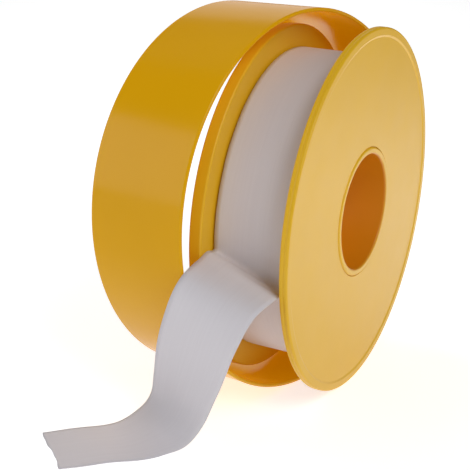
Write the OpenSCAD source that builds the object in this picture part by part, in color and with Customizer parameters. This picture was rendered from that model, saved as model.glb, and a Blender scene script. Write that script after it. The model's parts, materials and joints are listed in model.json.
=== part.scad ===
// Thread seal tape roll: a flanged spool of white tape, drawn partly and crookedly out of its ring cover.
// Millimetres. +X runs along the cover's axis out of its mouth, +Z is up, origin in the middle of the bore.

/* [Spool] */
// Diameter of the near flange, which stands on the floor
flange_d = 57; // [54:0.5:60]
// Thickness of the near flange over its rim
near_t = 1.3; // [1.1:0.1:1.8]
// Thickness of the far flange over its rim
far_t = 1.6; // [1.2:0.1:2]
// Height of the raised rim over the flange's flat web
rim_step = 0.15; // [0.1:0.05:0.4]
// Width of the raised rim round each flange
rim_w = 1.2; // [0.8:0.1:2]
// Rounding of the raised rim's edges
rim_round = 0.3; // [0.15:0.05:0.45]
// Diameter of the bore through the hub
bore_d = 18.2; // [16:0.2:20]
// Wall of the hub under the tape
hub_wall = 1.7; // [1.5:0.1:2.5]
// Wall of the hub's collars, where they pass through the flanges
collar_wall = 1.1; // [0.9:0.05:1.2]
// Rounding of the bore's mouths
mouth_round = 0.35; // [0.2:0.05:0.4]
// Gap between each collar and its flange
collar_gap = 0.05; // [0.03:0.01:0.1]

/* [Tape] */
// Width of the tape
tape_w = 12; // [11:0.5:13]
// Depth of the wound tape below the near flange's rim
tape_below = 4.5; // [4:0.1:10]
// Thickness of the tape, in the outer wind and in the free end
tape_t = 0.2; // [0.15:0.05:0.3]
// Gap between the tape's edges and each flange
side_gap = 0.3; // [0.2:0.05:0.5]
// Gap between the wound tape and the hub
core_gap = 0.05; // [0.03:0.01:0.1]
// Gap between the roll and the free end that leaves it
peel_gap = 0.3; // [0.25:0.05:0.5]

/* [Cover] */
// Wall of the cover
cover_wall = 0.8; // [0.6:0.05:1.2]
// Length of the cover along its axis
cover_len = 17.6; // [16.5:0.1:20]
// Gap between the near flange and the cover when the spool is pushed home
cover_gap = 0.55; // [0.5:0.05:0.9]
// Height of the lip that stops the spool at the cover's far end
lip_h = 1.2; // [0.8:0.1:2]
// Thickness of that lip
lip_t = 0.8; // [0.6:0.1:1.2]
// Rounding of the cover's end edges
cover_round = 0.25; // [0.1:0.05:0.28]

/* [Crooked seat] */
// Turn of the spool about the vertical, in degrees
spool_yaw = 12.4; // [9:0.2:13]
// Dip of the spool's near end, in degrees
spool_dip = 2.7; // [2:0.1:3]
// How far the cover's axis stands in front of the spool's centre
cover_shift = 3.1; // [2.8:0.05:3.4]
// Gap between the near flange's back and the cover's rim
rim_gap = 0.4; // [0.3:0.05:1]
// Least gap between the far flange and the inside of the cover
seat_gap = 0.1; // [0.1:0.05:0.4]
// Gap between the near flange and the floor
floor_gap = 0.02; // [0.01:0.01:0.05]

/* [Hidden] */
$fn = 96;
// Share of the rim's width that the web runs in under it
web_lap_share = 0.5;
// Sides of the outer wind over one turn
wind_sides = 120;
// Angles on the roll, below its front, where the free end leaves it
root_angles = [-34, -24, -14, -5];
// Share of the way out to the flange's rim, and of the tape's turn, that it has reached at those angles
root_lift_shares = [0, 0, 0.03, 0.24];
root_turn_shares = [0, 0, 0.08, 0.45];
// Free end from the near flange's rim to the floor: along the cover, out from it, down to the floor
hang_shares = [
    [0.43, 0.08, 0.33],
    [0.15, 0.07, 0.58],
    [-0.07, -0.02, 0.77],
    [-0.23, 0.01, 0.9],
    [-0.36, 0.16, 0.96],
    [-0.51, 0.42, 1],
    [-0.79, 0.77, 1],
    [-1.06, 1.17, 1],
];
// Place where the tape crosses the flange's rim: share of the width along the axis, angle below the front
cross_share = -0.01;
cross_angle = 5;
// Turn and dip of the tape's width at the crossing and at each hanging place
hang_turns = [
    [18, -22],
    [9, -21],
    [2, -21],
    [-9, -20],
    [-20, -17],
    [-27, -9],
    [-30, -2],
    [-30, 0],
    [-30, 0],
];
// Steps of the curve between two places
curve_steps = 6;

flange_r = flange_d / 2;
bore_r = bore_d / 2;
hub_r = bore_r + hub_wall;
collar_r = bore_r + collar_wall;
roll_r = flange_r - tape_below;
gap_w = tape_w + 2 * side_gap;
spool_len = near_t + gap_w + far_t;
near_front = spool_len / 2;
near_back = near_front - near_t;
far_back = -spool_len / 2;
far_front = far_back + far_t;
tape_mid = far_front + side_gap + tape_w / 2;

// Direction of the spool's axis
axis_x = cos(spool_dip) * cos(spool_yaw);
axis_y = cos(spool_dip) * sin(spool_yaw);
axis_z = -sin(spool_dip);

// Cover, set on the floor that the near flange stands on
cover_in_r = flange_r + cover_gap;
cover_r = cover_in_r + cover_wall;
floor_z = -(flange_r * cos(spool_dip) + near_front * sin(spool_dip) + floor_gap);
cover_z = floor_z + cover_r;
cover_y = -cover_shift;
rim_reach = axis_y * cover_y + axis_z * cover_z + cover_r * norm([axis_y, axis_z]);
mouth_x = (near_back - rim_gap - rim_reach) / axis_x;
cover_back = mouth_x - cover_len;

// Far flange, as large as its crooked place in the cover lets it be
lean_y = far_back * axis_y - cover_y;
lean_z = far_back * axis_z - cover_z;
far_r = cover_in_r - seat_gap - norm([lean_y, lean_z]);

// Tail's places, and the turn of its width at each
tail_rest_z = floor_z + tape_t / 2;
root_r = roll_r + peel_gap + tape_t / 2;
function on_spool(along, r, angle) =
    let (c = r * cos(angle), s = -r * sin(angle))
    let (x = along * cos(spool_dip) + s * sin(spool_dip), z = s * cos(spool_dip) - along * sin(spool_dip))
    [x * cos(spool_yaw) + c * sin(spool_yaw), x * sin(spool_yaw) - c * cos(spool_yaw), z];
function rest_z(share, dip) =
    max(floor_z * share, tail_rest_z + tape_w / 2 * sin(abs(dip)));
root_places = [
    for (i = [0 : len(root_angles) - 1])
        on_spool(tape_mid, root_r + root_lift_shares[i] * (flange_r - root_r), root_angles[i])
];
cross_place = on_spool(tape_mid + cross_share * tape_w, flange_r, cross_angle);
hang_places = [
    for (i = [0 : len(hang_shares) - 1])
        [
            mouth_x + hang_shares[i][0] * tape_w,
            cover_y - cover_r - hang_shares[i][1] * tape_w,
            rest_z(hang_shares[i][2], hang_turns[i + 1][1]),
        ]
];
places = concat(root_places, [cross_place], hang_places);
spool_turn = [spool_yaw, -spool_dip];
root_turns = [for (share = root_turn_shares) spool_turn + share * (hang_turns[0] - spool_turn)];
turns = concat(root_turns, hang_turns);

// Smooth curve through a list of places
function held(v, i) = v[min(max(i, 0), len(v) - 1)];
function bend(v, i, u) =
    let (a = held(v, i - 1), b = held(v, i), c = held(v, i + 1), d = held(v, i + 2))
    b + (u * (c - a) + u * u * (2 * a - 5 * b + 4 * c - d) + u * u * u * (3 * b - a - 3 * c + d)) / 2;
function along_curve(v) = concat(
    [for (i = [0 : len(v) - 2]) for (k = [0 : curve_steps - 1]) bend(v, i, k / curve_steps)],
    [v[len(v) - 1]]
);
function unit(v) = v / norm(v);
tail_line = along_curve(places);
tail_turns = along_curve(turns);
tail_last = len(tail_line) - 1;
function across(i) =
    let (t = tail_turns[i])
    [cos(t[1]) * cos(t[0]), cos(t[1]) * sin(t[0]), sin(t[1])];
function onward(i) = unit(tail_line[min(i + 1, tail_last)] - tail_line[max(i - 1, 0)]);
function outward(i) = unit(cross(across(i), onward(i)));
function tail_corner(i, side, face) =
    tail_line[i] + side * tape_w / 2 * across(i) + face * tape_t / 2 * outward(i);

// Bar with four rounded corners, from radius r0 to r1 and from place x0 to x1 on the axis
module round_bar(r0, r1, x0, x1, rad) {
    translate([r0, x0 + rad])
        square([r1 - r0, x1 - x0 - 2 * rad]);
    translate([r0 + rad, x0])
        square([r1 - r0 - 2 * rad, x1 - x0]);
    for (r = [r0 + rad, r1 - rad], x = [x0 + rad, x1 - rad])
        translate([r, x])
            circle(rad);
}

// Turns a profile of radius and place round the X axis
module turned() {
    rotate([0, 90, 0])
        rotate_extrude()
            children();
}

// Sets a piece on the spool's crooked axis
module on_axis() {
    rotate([0, spool_dip, spool_yaw])
        children();
}

// Open ring with rounded ends and a narrow stop lip at its far end
module cover_ring() {
    color([0.85, 0.62, 0.1])
        translate([0, cover_y, cover_z])
            turned() {
                round_bar(cover_in_r, cover_r, cover_back, mouth_x, cover_round);
                round_bar(cover_in_r - lip_h, cover_r, cover_back, cover_back + lip_t, cover_round);
            }
}

// Disc from place x0 to x1, with a raised round rim and a flat web from web0 to web1
module flange_disc(r, x0, x1, web0, web1) {
    on_axis()
        turned() {
            translate([collar_r + collar_gap, web0])
                square([r - rim_w * web_lap_share - collar_r - collar_gap, web1 - web0]);
            round_bar(r - rim_w, r, x0, x1, rim_round);
        }
}

// Flange that stands on the floor, seated on the hub's shoulder
module near_flange() {
    color([0.93, 0.77, 0.36])
        flange_disc(flange_r, near_back, near_front, near_back, near_front - rim_step);
}

// Flange inside the cover, seated on the hub's other shoulder
module far_flange() {
    color([0.9, 0.7, 0.25])
        flange_disc(far_r, far_back, far_front, far_back + rim_step, far_front);
}

// Hollow hub: a tube with rounded mouths, thicker under the tape, whose ends pass through the flanges
module hub() {
    color([0.86, 0.62, 0.12])
        on_axis()
            turned() {
                round_bar(bore_r, collar_r, far_back, near_front, mouth_round);
                translate([bore_r, far_front])
                    square([hub_wall, near_back - far_front]);
            }
}

// Wound tape: its outer wind closes on itself with a step where the free end leaves it
module tape_roll() {
    color([0.88, 0.85, 0.85])
        on_axis()
            translate([tape_mid - tape_w / 2, 0, 0])
                rotate([0, 90, 0])
                    linear_extrude(tape_w)
                        difference() {
                            polygon([
                                for (k = [0 : wind_sides])
                                    let (a = -90 + root_angles[0] - 360 * k / wind_sides)
                                    (roll_r - tape_t * k / wind_sides) * [cos(a), sin(a)]
                            ]);
                            circle(hub_r + core_gap);
                        }
}

// Free end: off the front of the roll, out over the far flange and the cover's rim, down and along the floor
module tape_tail() {
    corners = [
        for (i = [0 : tail_last])
            each [tail_corner(i, -1, -1), tail_corner(i, 1, -1), tail_corner(i, 1, 1), tail_corner(i, -1, 1)]
    ];
    sides = [
        for (i = [0 : tail_last - 1])
            for (k = [0 : 3])
                let (p = 4 * i + k, q = 4 * i + (k + 1) % 4)
                each [[p, q + 4, q], [p, p + 4, q + 4]]
    ];
    ends = [
        [0, 1, 2], [0, 2, 3],
        [4 * tail_last, 4 * tail_last + 2, 4 * tail_last + 1],
        [4 * tail_last, 4 * tail_last + 3, 4 * tail_last + 2],
    ];
    color([0.92, 0.9, 0.9])
        polyhedron(corners, concat(sides, ends));
}

cover_ring();
near_flange();
far_flange();
hub();
tape_roll();
tape_tail();
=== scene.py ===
"""Looks of the thread seal tape roll: a yellow spool of white tape, drawn out of its ring cover."""

import json
import math

import bmesh
import bpy
from mathutils import Matrix, Vector


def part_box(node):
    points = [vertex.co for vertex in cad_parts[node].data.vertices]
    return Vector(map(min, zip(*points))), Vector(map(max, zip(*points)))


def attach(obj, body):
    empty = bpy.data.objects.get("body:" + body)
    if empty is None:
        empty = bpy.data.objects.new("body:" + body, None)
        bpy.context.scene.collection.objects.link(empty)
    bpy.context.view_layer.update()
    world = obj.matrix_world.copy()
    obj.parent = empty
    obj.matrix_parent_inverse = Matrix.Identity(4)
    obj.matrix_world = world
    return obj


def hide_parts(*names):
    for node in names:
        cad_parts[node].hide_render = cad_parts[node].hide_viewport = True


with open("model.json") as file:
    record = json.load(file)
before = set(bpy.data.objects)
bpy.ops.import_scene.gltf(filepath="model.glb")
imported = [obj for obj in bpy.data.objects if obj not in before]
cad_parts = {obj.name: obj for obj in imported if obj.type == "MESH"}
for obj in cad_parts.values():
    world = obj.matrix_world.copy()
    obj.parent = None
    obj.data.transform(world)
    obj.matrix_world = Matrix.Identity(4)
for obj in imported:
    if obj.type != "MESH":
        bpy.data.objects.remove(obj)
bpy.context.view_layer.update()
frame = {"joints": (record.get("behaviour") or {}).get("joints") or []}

MM = 0.001

# Sizes of the spool, in metres
FLANGE_R = 28.5 * MM
NEAR_T = 1.3 * MM
FAR_T = 1.6 * MM
RIM_W = 1.2 * MM
RIM_STEP = 0.15 * MM
RIM_SLOPE = 2 * RIM_STEP
RIM_ROUND = 0.3 * MM
RIM_FOOT_ROUND = RIM_ROUND / 2
SEAT_ROUND = RIM_STEP / 2
BORE_R = 9.1 * MM
HUB_WALL = 1.7 * MM
COLLAR_WALL = 1.1 * MM
COLLAR_GAP = 0.05 * MM
SHOULDER_ROUND = 0.05 * MM
MOUTH_ROUND = 0.35 * MM

# Shallow groove round the near flange's rim
GROOVE_W = 0.44 * MM
GROOVE_D = 0.08 * MM
GROOVE_ROUND = 0.1 * MM

# Rim of the far flange, thicker and wider than the solid's, as the photograph shows it
FAR_RIM_T = 2.0 * MM
FAR_RIM_GROW = 0.25 * MM

# Sizes of the tape
TAPE_W = 12 * MM
TAPE_T = 0.1 * MM
TAPE_BELOW = 4.5 * MM
SIDE_GAP = 0.3 * MM
CORE_GAP = 0.05 * MM
LAY_GAP = 0.01 * MM
ROLL_ROUND = 0.12 * MM
ROLL_EDGE_DROP = 0.3 * ROLL_ROUND

# Sizes of the cover, whose wall is thinner than the solid's
COVER_WALL = 0.6 * MM
LIP_H = 1.4 * MM
LIP_T = 0.8 * MM
COVER_ROUND = 0.25 * MM

# Fineness of the meshes
TURN_STEPS = 288
ARC_STEPS = 6
EDGE_HOLD = 0.04 * MM
TAIL_STEPS = 10
TAIL_ACROSS = 16
ROLL_ACROSS = 24

# Free end at the roll, as rows of the angles below the roll's front of its far and near edge,
# and of the share of the way out to the near flange's rim that each edge has reached
LAID_ANGLES = range(-150, -40, 20)
ROOT_ROWS = [(angle, angle, 0, 0) for angle in LAID_ANGLES] + [
    (-34, -34, 0, 0),
    (-22, -20, 0, 0),
    (-10, -5, 0, 0),
    (-1, 7, 0, 0.03),
    (4.6, 13.2, 0.03, 0.27),
    (3.7, 12.6, 0.49, 0.62),
    (4.3, 11.8, 0.95, 1),
]

# Middle of the free end from there on: tape widths along the cover and out from it, share of
# the way down to the floor, and the turn and dip of the tape in degrees
HANG_ROWS = (
    (0.49, -0.09, 0.19, 13, -21),
    (0.4, 0.09, 0.33, 9, -21),
    (0.15, 0.07, 0.58, 2, -21),
    (-0.07, -0.02, 0.77, -9, -20),
    (-0.22, 0.01, 0.9, -20, -17),
    (-0.35, 0.16, 0.96, -27, -9),
    (-0.5, 0.42, 1, -30, -2),
    (-0.78, 0.77, 1, -30, 0),
    (-1.05, 1.17, 1, -30, 0),
)

# Soft ripple of the hanging stretch, and waves of its cut end as (half waves, height)
RIPPLE_H = 0.12 * MM
RIPPLE_LEN = 9 * MM
RIPPLE_LEAN = 2.5
END_WAVES = ((2.3, 0.16 * MM), (7, 0.06 * MM))

# Grain of the plastic: scales per metre of its colour, gloss and bumps, and the bumps' strength
CLOUD_SCALE = 70
SWIRL_SCALE = 240
GRAIN_SCALE = 5000
GRAIN_STRENGTH = 0.03
GRAIN_H = 0.02 * MM

# Film of the tape: colours, roughness, gloss, and scales along, across and through it per metre
FILM_DEEP = (0.69, 0.66, 0.70, 1)
FILM_PALE = (0.74, 0.715, 0.755, 1)
FILM_ROUGH = (0.5, 0.68)
FILM_GLOSS = 0.3
FILM_SHEEN = 0.05
LINE_SCALE = (60, 2600, 1)
LINE_STRENGTH = 0.12
LINE_H = 0.04 * MM
PULL_SCALE = (90, 160, 1)
PULL_STRENGTH = 0.15
PULL_H = 0.2 * MM

# Floor: its level to the camera and to the object, and the bright patch that the gloss shows
WHITE = (1, 1, 1, 1)
FLOOR_SIZE = 4.0
FLOOR_COLOUR = (0.9, 0.9, 0.9, 1)
FLOOR_ROUGH = 0.9
FLOOR_SEEN = 0.6
FLOOR_BOUNCE = 0.5
PATCH_PLACE = (0.03, 0.115)
PATCH_LEVEL = 1.6
PATCH_NEAR = 0.03
PATCH_FAR = 0.2

# Room: its level to the object, in the gloss and to the camera
WORLD_LEVEL = 0.15
WORLD_GLOSS = 0.05
WORLD_SEEN = 1

# Camera, fitted to the photograph
IMAGE_PX = 470
FOCAL_PX = 1167.5
SENSOR = 36
CAMERA_AZIMUTH = 39.79
CAMERA_ELEVATION = 16.86
CAMERA_PLACE = (104.05 * MM, -145.76 * MM, 48.92 * MM)
CLIP_START = 0.01

# Sockets of the node that mixes colours
MIX_SHARE, MIX_FIRST, MIX_SECOND, MIX_RESULT = 0, 6, 7, 2

# Crooked axis of the spool, from the frame's joint
spin = next(joint for joint in frame["joints"] if joint["name"] == "spool_spin")
axis_x = Vector(spin["axis"]).normalized()
axis_y = Vector((0, 0, 1)).cross(axis_x).normalized()
axis_z = axis_x.cross(axis_y)
spool_dip = -math.asin(axis_x.z)

# Places along the spool's axis, and radii
spool_len = NEAR_T + FAR_T + TAPE_W + 2 * SIDE_GAP
near_front = spool_len / 2
near_back = near_front - NEAR_T
far_back = -spool_len / 2
far_front = far_back + FAR_T
tape_mid = far_front + SIDE_GAP + TAPE_W / 2
hub_r = BORE_R + HUB_WALL
collar_r = BORE_R + COLLAR_WALL
roll_r = FLANGE_R - TAPE_BELOW

# Place of the cover and of the floor, from the frame
cover_low, cover_high = (Vector(corner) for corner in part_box("cover_ring"))
cover_mid = (cover_low + cover_high) / 2
cover_r = (cover_high.z - cover_low.z) / 2
cover_in_r = cover_r - COVER_WALL
floor_z = cover_low.z

# The far flange's radius, from its own height in the frame
far_low, far_high = (Vector(corner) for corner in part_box("far_flange"))
far_tilt = FAR_T * math.sin(spool_dip)
far_r = ((far_high.z - far_low.z) - far_tilt) / 2 / math.cos(spool_dip)

spool_place = Matrix((axis_x, axis_y, axis_z)).transposed().to_4x4()
cover_place = Matrix.Translation((0, cover_mid.y, cover_mid.z))


def in_scene(name, data):
    """New object in the scene."""
    obj = bpy.data.objects.new(name, data)
    bpy.context.scene.collection.objects.link(obj)
    return obj


def new_mesh(name, verts, faces, uvs=None):
    """Smooth mesh object; uvs holds one (u, v) for each vertex."""
    mesh = bpy.data.meshes.new(name)
    mesh.from_pydata([tuple(v) for v in verts], [], faces)
    mesh.update()
    mesh.polygons.foreach_set("use_smooth", [True] * len(mesh.polygons))
    if uvs:
        layer = mesh.uv_layers.new(name="lay")
        for loop in mesh.loops:
            layer.data[loop.index].uv = uvs[loop.vertex_index]
    return in_scene(name, mesh)


def fix_normals(obj):
    """Points the faces of a closed mesh outwards."""
    work = bmesh.new()
    work.from_mesh(obj.data)
    bmesh.ops.recalc_face_normals(work, faces=work.faces)
    work.to_mesh(obj.data)
    work.free()


def rounded(corners):
    """Closed outline of (radius, place), with an arc at each corner (radius, place, rounding).

    Two points close to each arc hold the flat stretches flat under smooth shading."""
    outline = []
    count = len(corners)
    for i, (r, x, rad) in enumerate(corners):
        here = Vector((r, x))
        before = (Vector(corners[i - 1][:2]) - here).normalized()
        after = (Vector(corners[(i + 1) % count][:2]) - here).normalized()
        half = before.angle(after) / 2
        reach = rad / math.tan(half)
        centre = here + (before + after).normalized() * (rad / math.sin(half))
        start, end = here + before * reach, here + after * reach
        first, last = (start - centre).normalized(), (end - centre).normalized()
        outline.append(start + before * EDGE_HOLD)
        for k in range(ARC_STEPS + 1):
            outline.append(centre + first.slerp(last, k / ARC_STEPS) * rad)
        outline.append(end + after * EDGE_HOLD)
    return outline


def turned(name, outline, place):
    """Turns a closed outline of (radius, place) round the X axis of a place."""
    verts, faces = [], []
    count = len(outline)
    for k in range(TURN_STEPS):
        a = 2 * math.pi * k / TURN_STEPS
        for r, x in outline:
            verts.append(place @ Vector((x, r * math.cos(a), r * math.sin(a))))
        near, far = k * count, (k + 1) % TURN_STEPS * count
        for i in range(count):
            j = (i + 1) % count
            faces.append((near + i, far + i, far + j, near + j))
    obj = new_mesh(name, verts, faces)
    fix_normals(obj)
    return obj


def make_cover():
    """Open ring with a narrow lip at its far end."""
    lip_r = cover_in_r - LIP_H
    lip_front = cover_low.x + LIP_T
    outline = rounded([
        (cover_r, cover_low.x, COVER_ROUND),
        (cover_r, cover_high.x, COVER_ROUND),
        (cover_in_r, cover_high.x, COVER_ROUND),
        (cover_in_r, lip_front, COVER_ROUND),
        (lip_r, lip_front, COVER_ROUND),
        (lip_r, cover_low.x, COVER_ROUND),
    ])
    return turned("cover_shell", outline, cover_place)


def make_flange(name, r, inner, outer, web, groove):
    """Disc from its flat inner face to its outer one, with a raised rim that may have a groove."""
    mid = (inner + outer) / 2
    side = [
        (r, mid - GROOVE_W / 2, GROOVE_ROUND),
        (r - GROOVE_D, mid, GROOVE_ROUND),
        (r, mid + GROOVE_W / 2, GROOVE_ROUND),
    ]
    outline = rounded([
        (collar_r + COLLAR_GAP, inner, SEAT_ROUND),
        (r, inner, RIM_ROUND),
        *(side if groove else []),
        (r, outer, RIM_ROUND),
        (r - RIM_W, outer, RIM_FOOT_ROUND),
        (r - RIM_W - RIM_SLOPE, web, RIM_FOOT_ROUND),
        (collar_r + COLLAR_GAP, web, SEAT_ROUND),
    ])
    return turned(name, outline, spool_place)


def make_hub():
    """Tube with rounded mouths, thicker between the shoulders that the flanges sit on."""
    outline = rounded([
        (BORE_R, far_back, MOUTH_ROUND),
        (BORE_R, near_front, MOUTH_ROUND),
        (collar_r, near_front, MOUTH_ROUND),
        (collar_r, near_back, SHOULDER_ROUND),
        (hub_r, near_back, SHOULDER_ROUND),
        (hub_r, far_front, SHOULDER_ROUND),
        (collar_r, far_front, SHOULDER_ROUND),
        (collar_r, far_back, MOUTH_ROUND),
    ])
    return turned("hub_tube", outline, spool_place)


def on_spool(along, r, angle):
    """Place at a radius and an angle below the spool's front."""
    a = math.radians(angle)
    return axis_x * along - axis_y * (r * math.cos(a)) - axis_z * (r * math.sin(a))


def make_roll():
    """Wound tape, whose outer wind rises by one thickness over its turn."""
    verts, uvs, faces = [], [], []
    for k in range(TURN_STEPS + 1):
        turn = k / TURN_STEPS
        r = roll_r - TAPE_T * (1 - turn)
        ring = [(hub_r + CORE_GAP, -TAPE_W / 2), (r - ROLL_ROUND, -TAPE_W / 2)]
        for j in range(ROLL_ACROSS + 1):
            drop = ROLL_EDGE_DROP if j in (0, ROLL_ACROSS) else 0
            ring.append((r - drop, (j / ROLL_ACROSS - 0.5) * TAPE_W))
        ring += [(r - ROLL_ROUND, TAPE_W / 2), (hub_r + CORE_GAP, TAPE_W / 2)]
        for radius, along in ring:
            verts.append(on_spool(tape_mid + along, radius, LAID_ANGLES[0] - 360 * turn))
            uvs.append((turn * 2 * math.pi * roll_r, along + TAPE_W / 2))
    count = len(ring)
    for k in range(TURN_STEPS):
        here, there = k * count, (k + 1) * count
        for i in range(count):
            j = (i + 1) % count
            faces.append((here + i, there + i, there + j, here + j))
    end = TURN_STEPS * count
    faces.append(tuple(range(count)))
    faces.append(tuple(end + i for i in reversed(range(count))))
    wound = new_mesh("tape_wound", verts, faces, uvs)
    fix_normals(wound)
    return wound


def tail_edges():
    """Places of the free end's far edge and of its near edge."""
    root_r = roll_r + LAY_GAP + TAPE_T / 2
    way_out = FLANGE_R - root_r
    far_edge, near_edge = [], []
    for far_angle, near_angle, far_lift, near_lift in ROOT_ROWS:
        far_reach, near_reach = root_r + far_lift * way_out, root_r + near_lift * way_out
        far_edge.append(on_spool(tape_mid - TAPE_W / 2, far_reach, far_angle))
        near_edge.append(on_spool(tape_mid + TAPE_W / 2, near_reach, near_angle))
    for along, out, down, turn_angle, dip_angle in HANG_ROWS:
        turn, dip = math.radians(turn_angle), math.radians(dip_angle)
        level = math.cos(dip)
        half = Vector((level * math.cos(turn), level * math.sin(turn), math.sin(dip))) * TAPE_W / 2
        height = max(floor_z * down, floor_z + TAPE_T / 2 + abs(half.z))
        front = cover_mid.y - cover_r
        place = Vector((cover_high.x + along * TAPE_W, front - out * TAPE_W, height))
        far_edge.append(place - half)
        near_edge.append(place + half)
    return far_edge, near_edge


def off_roll(place, least):
    """Moves a place that lies nearer to the spool's axis than the least radius out to it."""
    along = axis_x * axis_x.dot(place)
    spoke = place - along
    return place if spoke.length >= least else along + spoke.normalized() * least


def bend(points, i, u):
    """Point on the smooth curve through a list of points, at share u of stretch i."""
    last = len(points) - 1
    a, b, c, d = (points[min(max(k, 0), last)] for k in (i - 1, i, i + 1, i + 2))
    square = 2 * a - 5 * b + 4 * c - d
    cube = 3 * b - a - 3 * c + d
    return b + (u * (c - a) + u**2 * square + u**3 * cube) / 2


def along_curve(points, steps):
    """The smooth curve through a list of points, in equal steps of each stretch."""
    line = [bend(points, i, k / steps) for i in range(len(points) - 1) for k in range(steps)]
    return line + [points[-1]]


def make_tail():
    """Free end as a closed thin ribbon, with its length and width in the uv map.

    Gives the ribbon and its length."""
    far_line, near_line = (along_curve(edge, TAIL_STEPS) for edge in tail_edges())
    line = [(far + near) / 2 for far, near in zip(far_line, near_line)]
    last = len(line) - 1
    first_free = len(ROOT_ROWS) * TAIL_STEPS
    verts, uvs, run = [], [], 0
    for i, place in enumerate(line):
        width = near_line[i] - far_line[i]
        onward = (line[min(i + 1, last)] - line[max(i - 1, 0)]).normalized()
        out = onward.cross(width).normalized()
        run += (place - line[i - 1]).length if i else 0
        free = min(max((i - first_free) / TAIL_STEPS, 0), 1)
        for side in (1, -1):
            least = roll_r + LAY_GAP + (TAPE_T if side > 0 else 0)
            for k in range(TAIL_ACROSS + 1):
                share = (k / TAIL_ACROSS - 0.5) * side
                from_far = share + 0.5
                wave = math.sin(2 * math.pi * run / RIPPLE_LEN + RIPPLE_LEAN * share)
                lift = free * RIPPLE_H * (1 + wave) / 2 + side * TAPE_T / 2
                spot = place + width * share + out * lift
                if i == last:
                    for waves, high in END_WAVES:
                        spot += onward * high * math.sin(math.pi * waves * from_far)
                verts.append(off_roll(spot, least))
                uvs.append((run, from_far * TAPE_W))
    ring = 2 * (TAIL_ACROSS + 1)
    faces = []
    for i in range(last):
        here, there = i * ring, (i + 1) * ring
        for k in range(ring):
            j = (k + 1) % ring
            faces.append((here + k, here + j, there + j, there + k))
    for end in (0, last * ring):
        for k in range(TAIL_ACROSS):
            other = ring - 1 - k
            faces.append((end + k, end + k + 1, end + other - 1, end + other))
    ribbon = new_mesh("tape_free_end", verts, faces, uvs)
    fix_normals(ribbon)
    return ribbon, run


class Nodes:
    """Shader nodes of a material or of the world, and the ways in which the looks join them."""

    def __init__(self, tree):
        self.tree = tree

    def add(self, kind, **values):
        """New node; a value is one of its settings or, under a socket's name, an input."""
        node = self.tree.nodes.new(kind)
        for key, value in values.items():
            if hasattr(node, key):
                setattr(node, key, value)
            else:
                node.inputs[key].default_value = value
        return node

    def put(self, socket, value):
        """Gives an input a fixed value or the output of another node."""
        if isinstance(value, bpy.types.NodeSocket):
            self.tree.links.new(value, socket)
        else:
            socket.default_value = value

    def maths(self, operation, first, second):
        """Two values put together by an operation."""
        node = self.add("ShaderNodeMath", operation=operation)
        self.put(node.inputs[0], first)
        self.put(node.inputs[1], second)
        return node.outputs[0]

    def mapped(self, source, low, high, start=0, end=1):
        """A value that runs from start to end, mapped to the range from low to high."""
        node = self.add("ShaderNodeMapRange")
        self.put(node.inputs["From Min"], start)
        self.put(node.inputs["From Max"], end)
        self.put(node.inputs["To Min"], low)
        self.put(node.inputs["To Max"], high)
        self.put(node.inputs["Value"], source)
        return node.outputs["Result"]

    def mixed(self, share, first, second):
        """Colour that runs from the first to the second."""
        node = self.add("ShaderNodeMix", data_type="RGBA")
        self.put(node.inputs[MIX_SHARE], share)
        self.put(node.inputs[MIX_FIRST], first)
        self.put(node.inputs[MIX_SECOND], second)
        return node.outputs[MIX_RESULT]

    def noise(self, coords, scale, detail, rough):
        """Cloudy value at some coordinates."""
        node = self.add("ShaderNodeTexNoise", Scale=scale, Detail=detail, Roughness=rough)
        self.put(node.inputs["Vector"], coords)
        return node.outputs["Fac"]

    def scaled(self, coords, scale):
        """Coordinates stretched along each axis."""
        node = self.add("ShaderNodeMapping", Scale=scale)
        self.put(node.inputs["Vector"], coords)
        return node.outputs["Vector"]

    def bumped(self, height, strength, depth, under=None):
        """Normal of a surface with bumps, on top of other bumps where they are given."""
        node = self.add("ShaderNodeBump", Strength=strength, Distance=depth)
        self.put(node.inputs["Height"], height)
        if under is not None:
            self.put(node.inputs["Normal"], under)
        return node.outputs["Normal"]


def new_material(name):
    """New material; gives it with its shader and its nodes."""
    material = bpy.data.materials.new(name)
    material.use_nodes = True
    tree = material.node_tree
    return material, tree.nodes["Principled BSDF"], Nodes(tree)


def off_axis(nodes, coords):
    """Distance of a point from the spool's axis."""
    along = nodes.add("ShaderNodeVectorMath", operation="DOT_PRODUCT")
    nodes.put(along.inputs[0], coords)
    nodes.put(along.inputs[1], axis_x)
    foot = nodes.add("ShaderNodeVectorMath", operation="SCALE")
    nodes.put(foot.inputs[0], axis_x)
    nodes.put(foot.inputs["Scale"], along.outputs["Value"])
    spoke = nodes.add("ShaderNodeVectorMath", operation="SUBTRACT")
    nodes.put(spoke.inputs[0], coords)
    nodes.put(spoke.inputs[1], foot.outputs["Vector"])
    reach = nodes.add("ShaderNodeVectorMath", operation="LENGTH")
    nodes.put(reach.inputs[0], spoke.outputs["Vector"])
    return reach.outputs["Value"]


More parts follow.
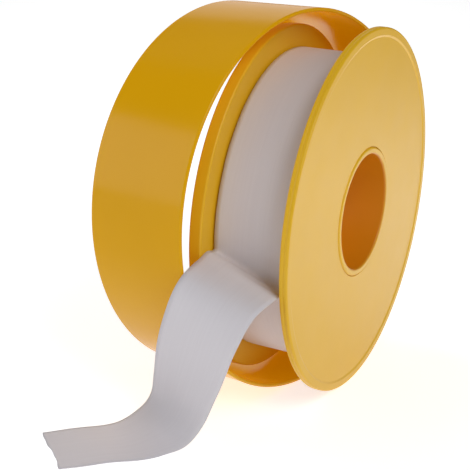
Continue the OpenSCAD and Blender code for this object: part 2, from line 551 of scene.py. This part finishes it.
def plastic(name, deep, pale, rough, gloss, painted_glow, painted_glow_strength, bore_shade_colour=None):
    """Moulded yellow plastic: clouded colour, fine grain, uneven gloss, and an orange emission that
    paints a glow through it in place of light passing through the plastic.

    The hub's hole, where there is one, gets a deeper, redder colour as painted shade for its
    hollow."""
    material, shader, nodes = new_material(name)
    coords = nodes.add("ShaderNodeTexCoord").outputs["Object"]
    cloud = nodes.noise(coords, CLOUD_SCALE, detail=3, rough=0.55)
    grain = nodes.noise(coords, GRAIN_SCALE, detail=2, rough=0.6)
    swirl = nodes.noise(coords, SWIRL_SCALE, detail=2, rough=0.5)
    colour = nodes.mixed(cloud, deep, pale)
    if bore_shade_colour:
        # Painted shade: the inside of the hub's hole gets a deeper colour, for the little light
        # that reaches the hollow
        out_of_bore_shade = nodes.mapped(off_axis(nodes, coords), 0, 1, BORE_R, BORE_R + MOUTH_ROUND)
        colour = nodes.mixed(out_of_bore_shade, bore_shade_colour, colour)
    nodes.put(shader.inputs["Base Color"], colour)
    nodes.put(shader.inputs["Roughness"], nodes.mapped(swirl, *rough))
    nodes.put(shader.inputs["Normal"], nodes.bumped(grain, GRAIN_STRENGTH, GRAIN_H))
    nodes.put(shader.inputs["Specular IOR Level"], gloss)
    # Painted glow: an orange emission that lifts the shaded insides as if light passed through the
    # plastic
    nodes.put(shader.inputs["Emission Color"], painted_glow)
    nodes.put(shader.inputs["Emission Strength"], painted_glow_strength)
    return material


def film(name):
    """Soft white tape: drawn lines along its length, small pulls across it, a dull sheen."""
    material, shader, nodes = new_material(name)
    coords = nodes.add("ShaderNodeTexCoord").outputs["UV"]
    lines = nodes.noise(nodes.scaled(coords, LINE_SCALE), 1, detail=3, rough=0.6)
    pulls = nodes.noise(nodes.scaled(coords, PULL_SCALE), 1, detail=2, rough=0.5)
    fine = nodes.bumped(lines, LINE_STRENGTH, LINE_H)
    broad = nodes.bumped(pulls, PULL_STRENGTH, PULL_H, under=fine)
    nodes.put(shader.inputs["Base Color"], nodes.mixed(lines, FILM_DEEP, FILM_PALE))
    nodes.put(shader.inputs["Roughness"], nodes.mapped(pulls, *FILM_ROUGH))
    nodes.put(shader.inputs["Normal"], broad)
    nodes.put(shader.inputs["Specular IOR Level"], FILM_GLOSS)
    nodes.put(shader.inputs["Sheen Weight"], FILM_SHEEN)
    return material


def make_floor():
    """White floor that lights the object from below and shows as a bright patch in its gloss."""
    half = FLOOR_SIZE / 2
    square = ((-half, -half), (half, -half), (half, half), (-half, half))
    floor = new_mesh("floor", [(x, y, floor_z) for x, y in square], [(0, 1, 2, 3)])
    material, shader, nodes = new_material("floor_paper")
    path = nodes.add("ShaderNodeLightPath")
    reach = nodes.add("ShaderNodeVectorMath", operation="DISTANCE")
    nodes.put(reach.inputs[0], nodes.add("ShaderNodeTexCoord").outputs["Object"])
    nodes.put(reach.inputs[1], (*PATCH_PLACE, floor_z))
    patch = nodes.mapped(reach.outputs["Value"], PATCH_LEVEL, 0, PATCH_NEAR, PATCH_FAR)
    seen = nodes.maths("MULTIPLY", path.outputs["Is Camera Ray"], FLOOR_SEEN)
    bounce = nodes.maths("MULTIPLY", path.outputs["Is Diffuse Ray"], FLOOR_BOUNCE)
    gloss = nodes.maths("MULTIPLY", path.outputs["Is Glossy Ray"], patch)
    level = nodes.maths("ADD", nodes.maths("ADD", seen, bounce), gloss)
    nodes.put(shader.inputs["Base Color"], FLOOR_COLOUR)
    nodes.put(shader.inputs["Roughness"], FLOOR_ROUGH)
    nodes.put(shader.inputs["Emission Color"], WHITE)
    nodes.put(shader.inputs["Emission Strength"], level)
    floor.data.materials.append(material)


def make_world():
    """Dim white room that the gloss hardly shows and the camera sees as white."""
    world = bpy.data.worlds.new("studio")
    world.use_nodes = True
    nodes = Nodes(world.node_tree)
    background = world.node_tree.nodes["Background"]
    path = nodes.add("ShaderNodeLightPath")
    unseen = nodes.mapped(path.outputs["Is Glossy Ray"], WORLD_LEVEL, WORLD_GLOSS)
    level = nodes.mapped(path.outputs["Is Camera Ray"], unseen, WORLD_SEEN)
    nodes.put(background.inputs["Color"], WHITE)
    nodes.put(background.inputs["Strength"], level)
    bpy.context.scene.world = world


def facing(direction):
    """Rotation of a light or a camera that looks in a direction."""
    return direction.to_track_quat("-Z", "Y").to_euler()


def soft_light(name, place, size, watts, in_gloss):
    """Square soft light that looks at the object, and shows in its gloss or not."""
    data = bpy.data.lights.new(name, "AREA")
    data.size = size
    data.energy = watts
    light = in_scene(name, data)
    light.location = place
    light.visible_glossy = in_gloss
    light.rotation_euler = facing(-Vector(place))


def make_camera():
    """Camera at the photograph's place, with the photograph's field of view."""
    data = bpy.data.cameras.new("camera")
    data.sensor_width = SENSOR
    data.lens = FOCAL_PX / IMAGE_PX * SENSOR
    data.clip_start = CLIP_START
    camera = in_scene("camera", data)
    camera.location = CAMERA_PLACE
    a, e = math.radians(CAMERA_AZIMUTH), math.radians(CAMERA_ELEVATION)
    look = Vector((-math.sin(a) * math.cos(e), math.cos(a) * math.cos(e), -math.sin(e)))
    camera.rotation_euler = facing(look)
    bpy.context.scene.camera = camera


# Materials of the object; the emission of each plastic is a painted glow, standing in for light
# passing through it
cover_yellow = plastic(
    "cover_plastic",
    deep=(0.42, 0.285, 0.001, 1),
    pale=(0.47, 0.315, 0.002, 1),
    rough=(0.16, 0.24),
    gloss=0.2,
    painted_glow=(1, 0.3, 0, 1),
    painted_glow_strength=0.26,
)
spool_yellow = plastic(
    "spool_plastic",
    deep=(0.71, 0.43, 0.008, 1),
    pale=(0.77, 0.47, 0.015, 1),
    rough=(0.38, 0.48),
    gloss=0.4,
    painted_glow=(1, 0.25, 0, 1),
    painted_glow_strength=0.05,
    # deeper colour painted inside the hub's hole as its shade
    bore_shade_colour=(0.57, 0.2, 0.002, 1),
)
tape_white = film("tape_film")

# Pieces of the object
cover = make_cover()
near_flange = make_flange(
    "flange_near",
    r=FLANGE_R,
    inner=near_back,
    outer=near_front,
    web=near_front - RIM_STEP,
    groove=True,
)
far_flange = make_flange(
    "flange_far",
    r=far_r + FAR_RIM_GROW,
    inner=far_front,
    outer=far_front - FAR_RIM_T,
    web=far_back + RIM_STEP,
    groove=False,
)
hub = make_hub()
roll = make_roll()
tail, tail_length = make_tail()

for piece, body, node, slot, material in (
    (cover, "cover", "cover_ring", "cover_yellow", cover_yellow),
    (near_flange, "spool", "near_flange", "spool_yellow", spool_yellow),
    (far_flange, "spool", "far_flange", "spool_yellow", spool_yellow),
    (hub, "spool", "hub", "spool_yellow", spool_yellow),
    (roll, "spool", "tape_roll", "tape_white", tape_white),
    (tail, "tape_end", "tape_tail", "tape_white", tape_white),
):
    piece.data.materials.append(material)
    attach(piece, body)
    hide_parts(node)

# Studio, with places and sizes of the lights in metres
make_floor()
make_world()
soft_light("key", place=(0.5, -0.15, 0.45), size=0.35, watts=2.0, in_gloss=True)
soft_light("top_back", place=(-0.35, 0.1, 0.48), size=0.3, watts=0.9, in_gloss=False)
soft_light("back_left", place=(-0.45, 0.54, 0.25), size=0.4, watts=0.3, in_gloss=True)
soft_light("front_left", place=(-0.45, -0.5, 0.2), size=0.4, watts=0.9, in_gloss=True)
make_camera()
bpy.context.scene.view_settings.view_transform = "Standard"
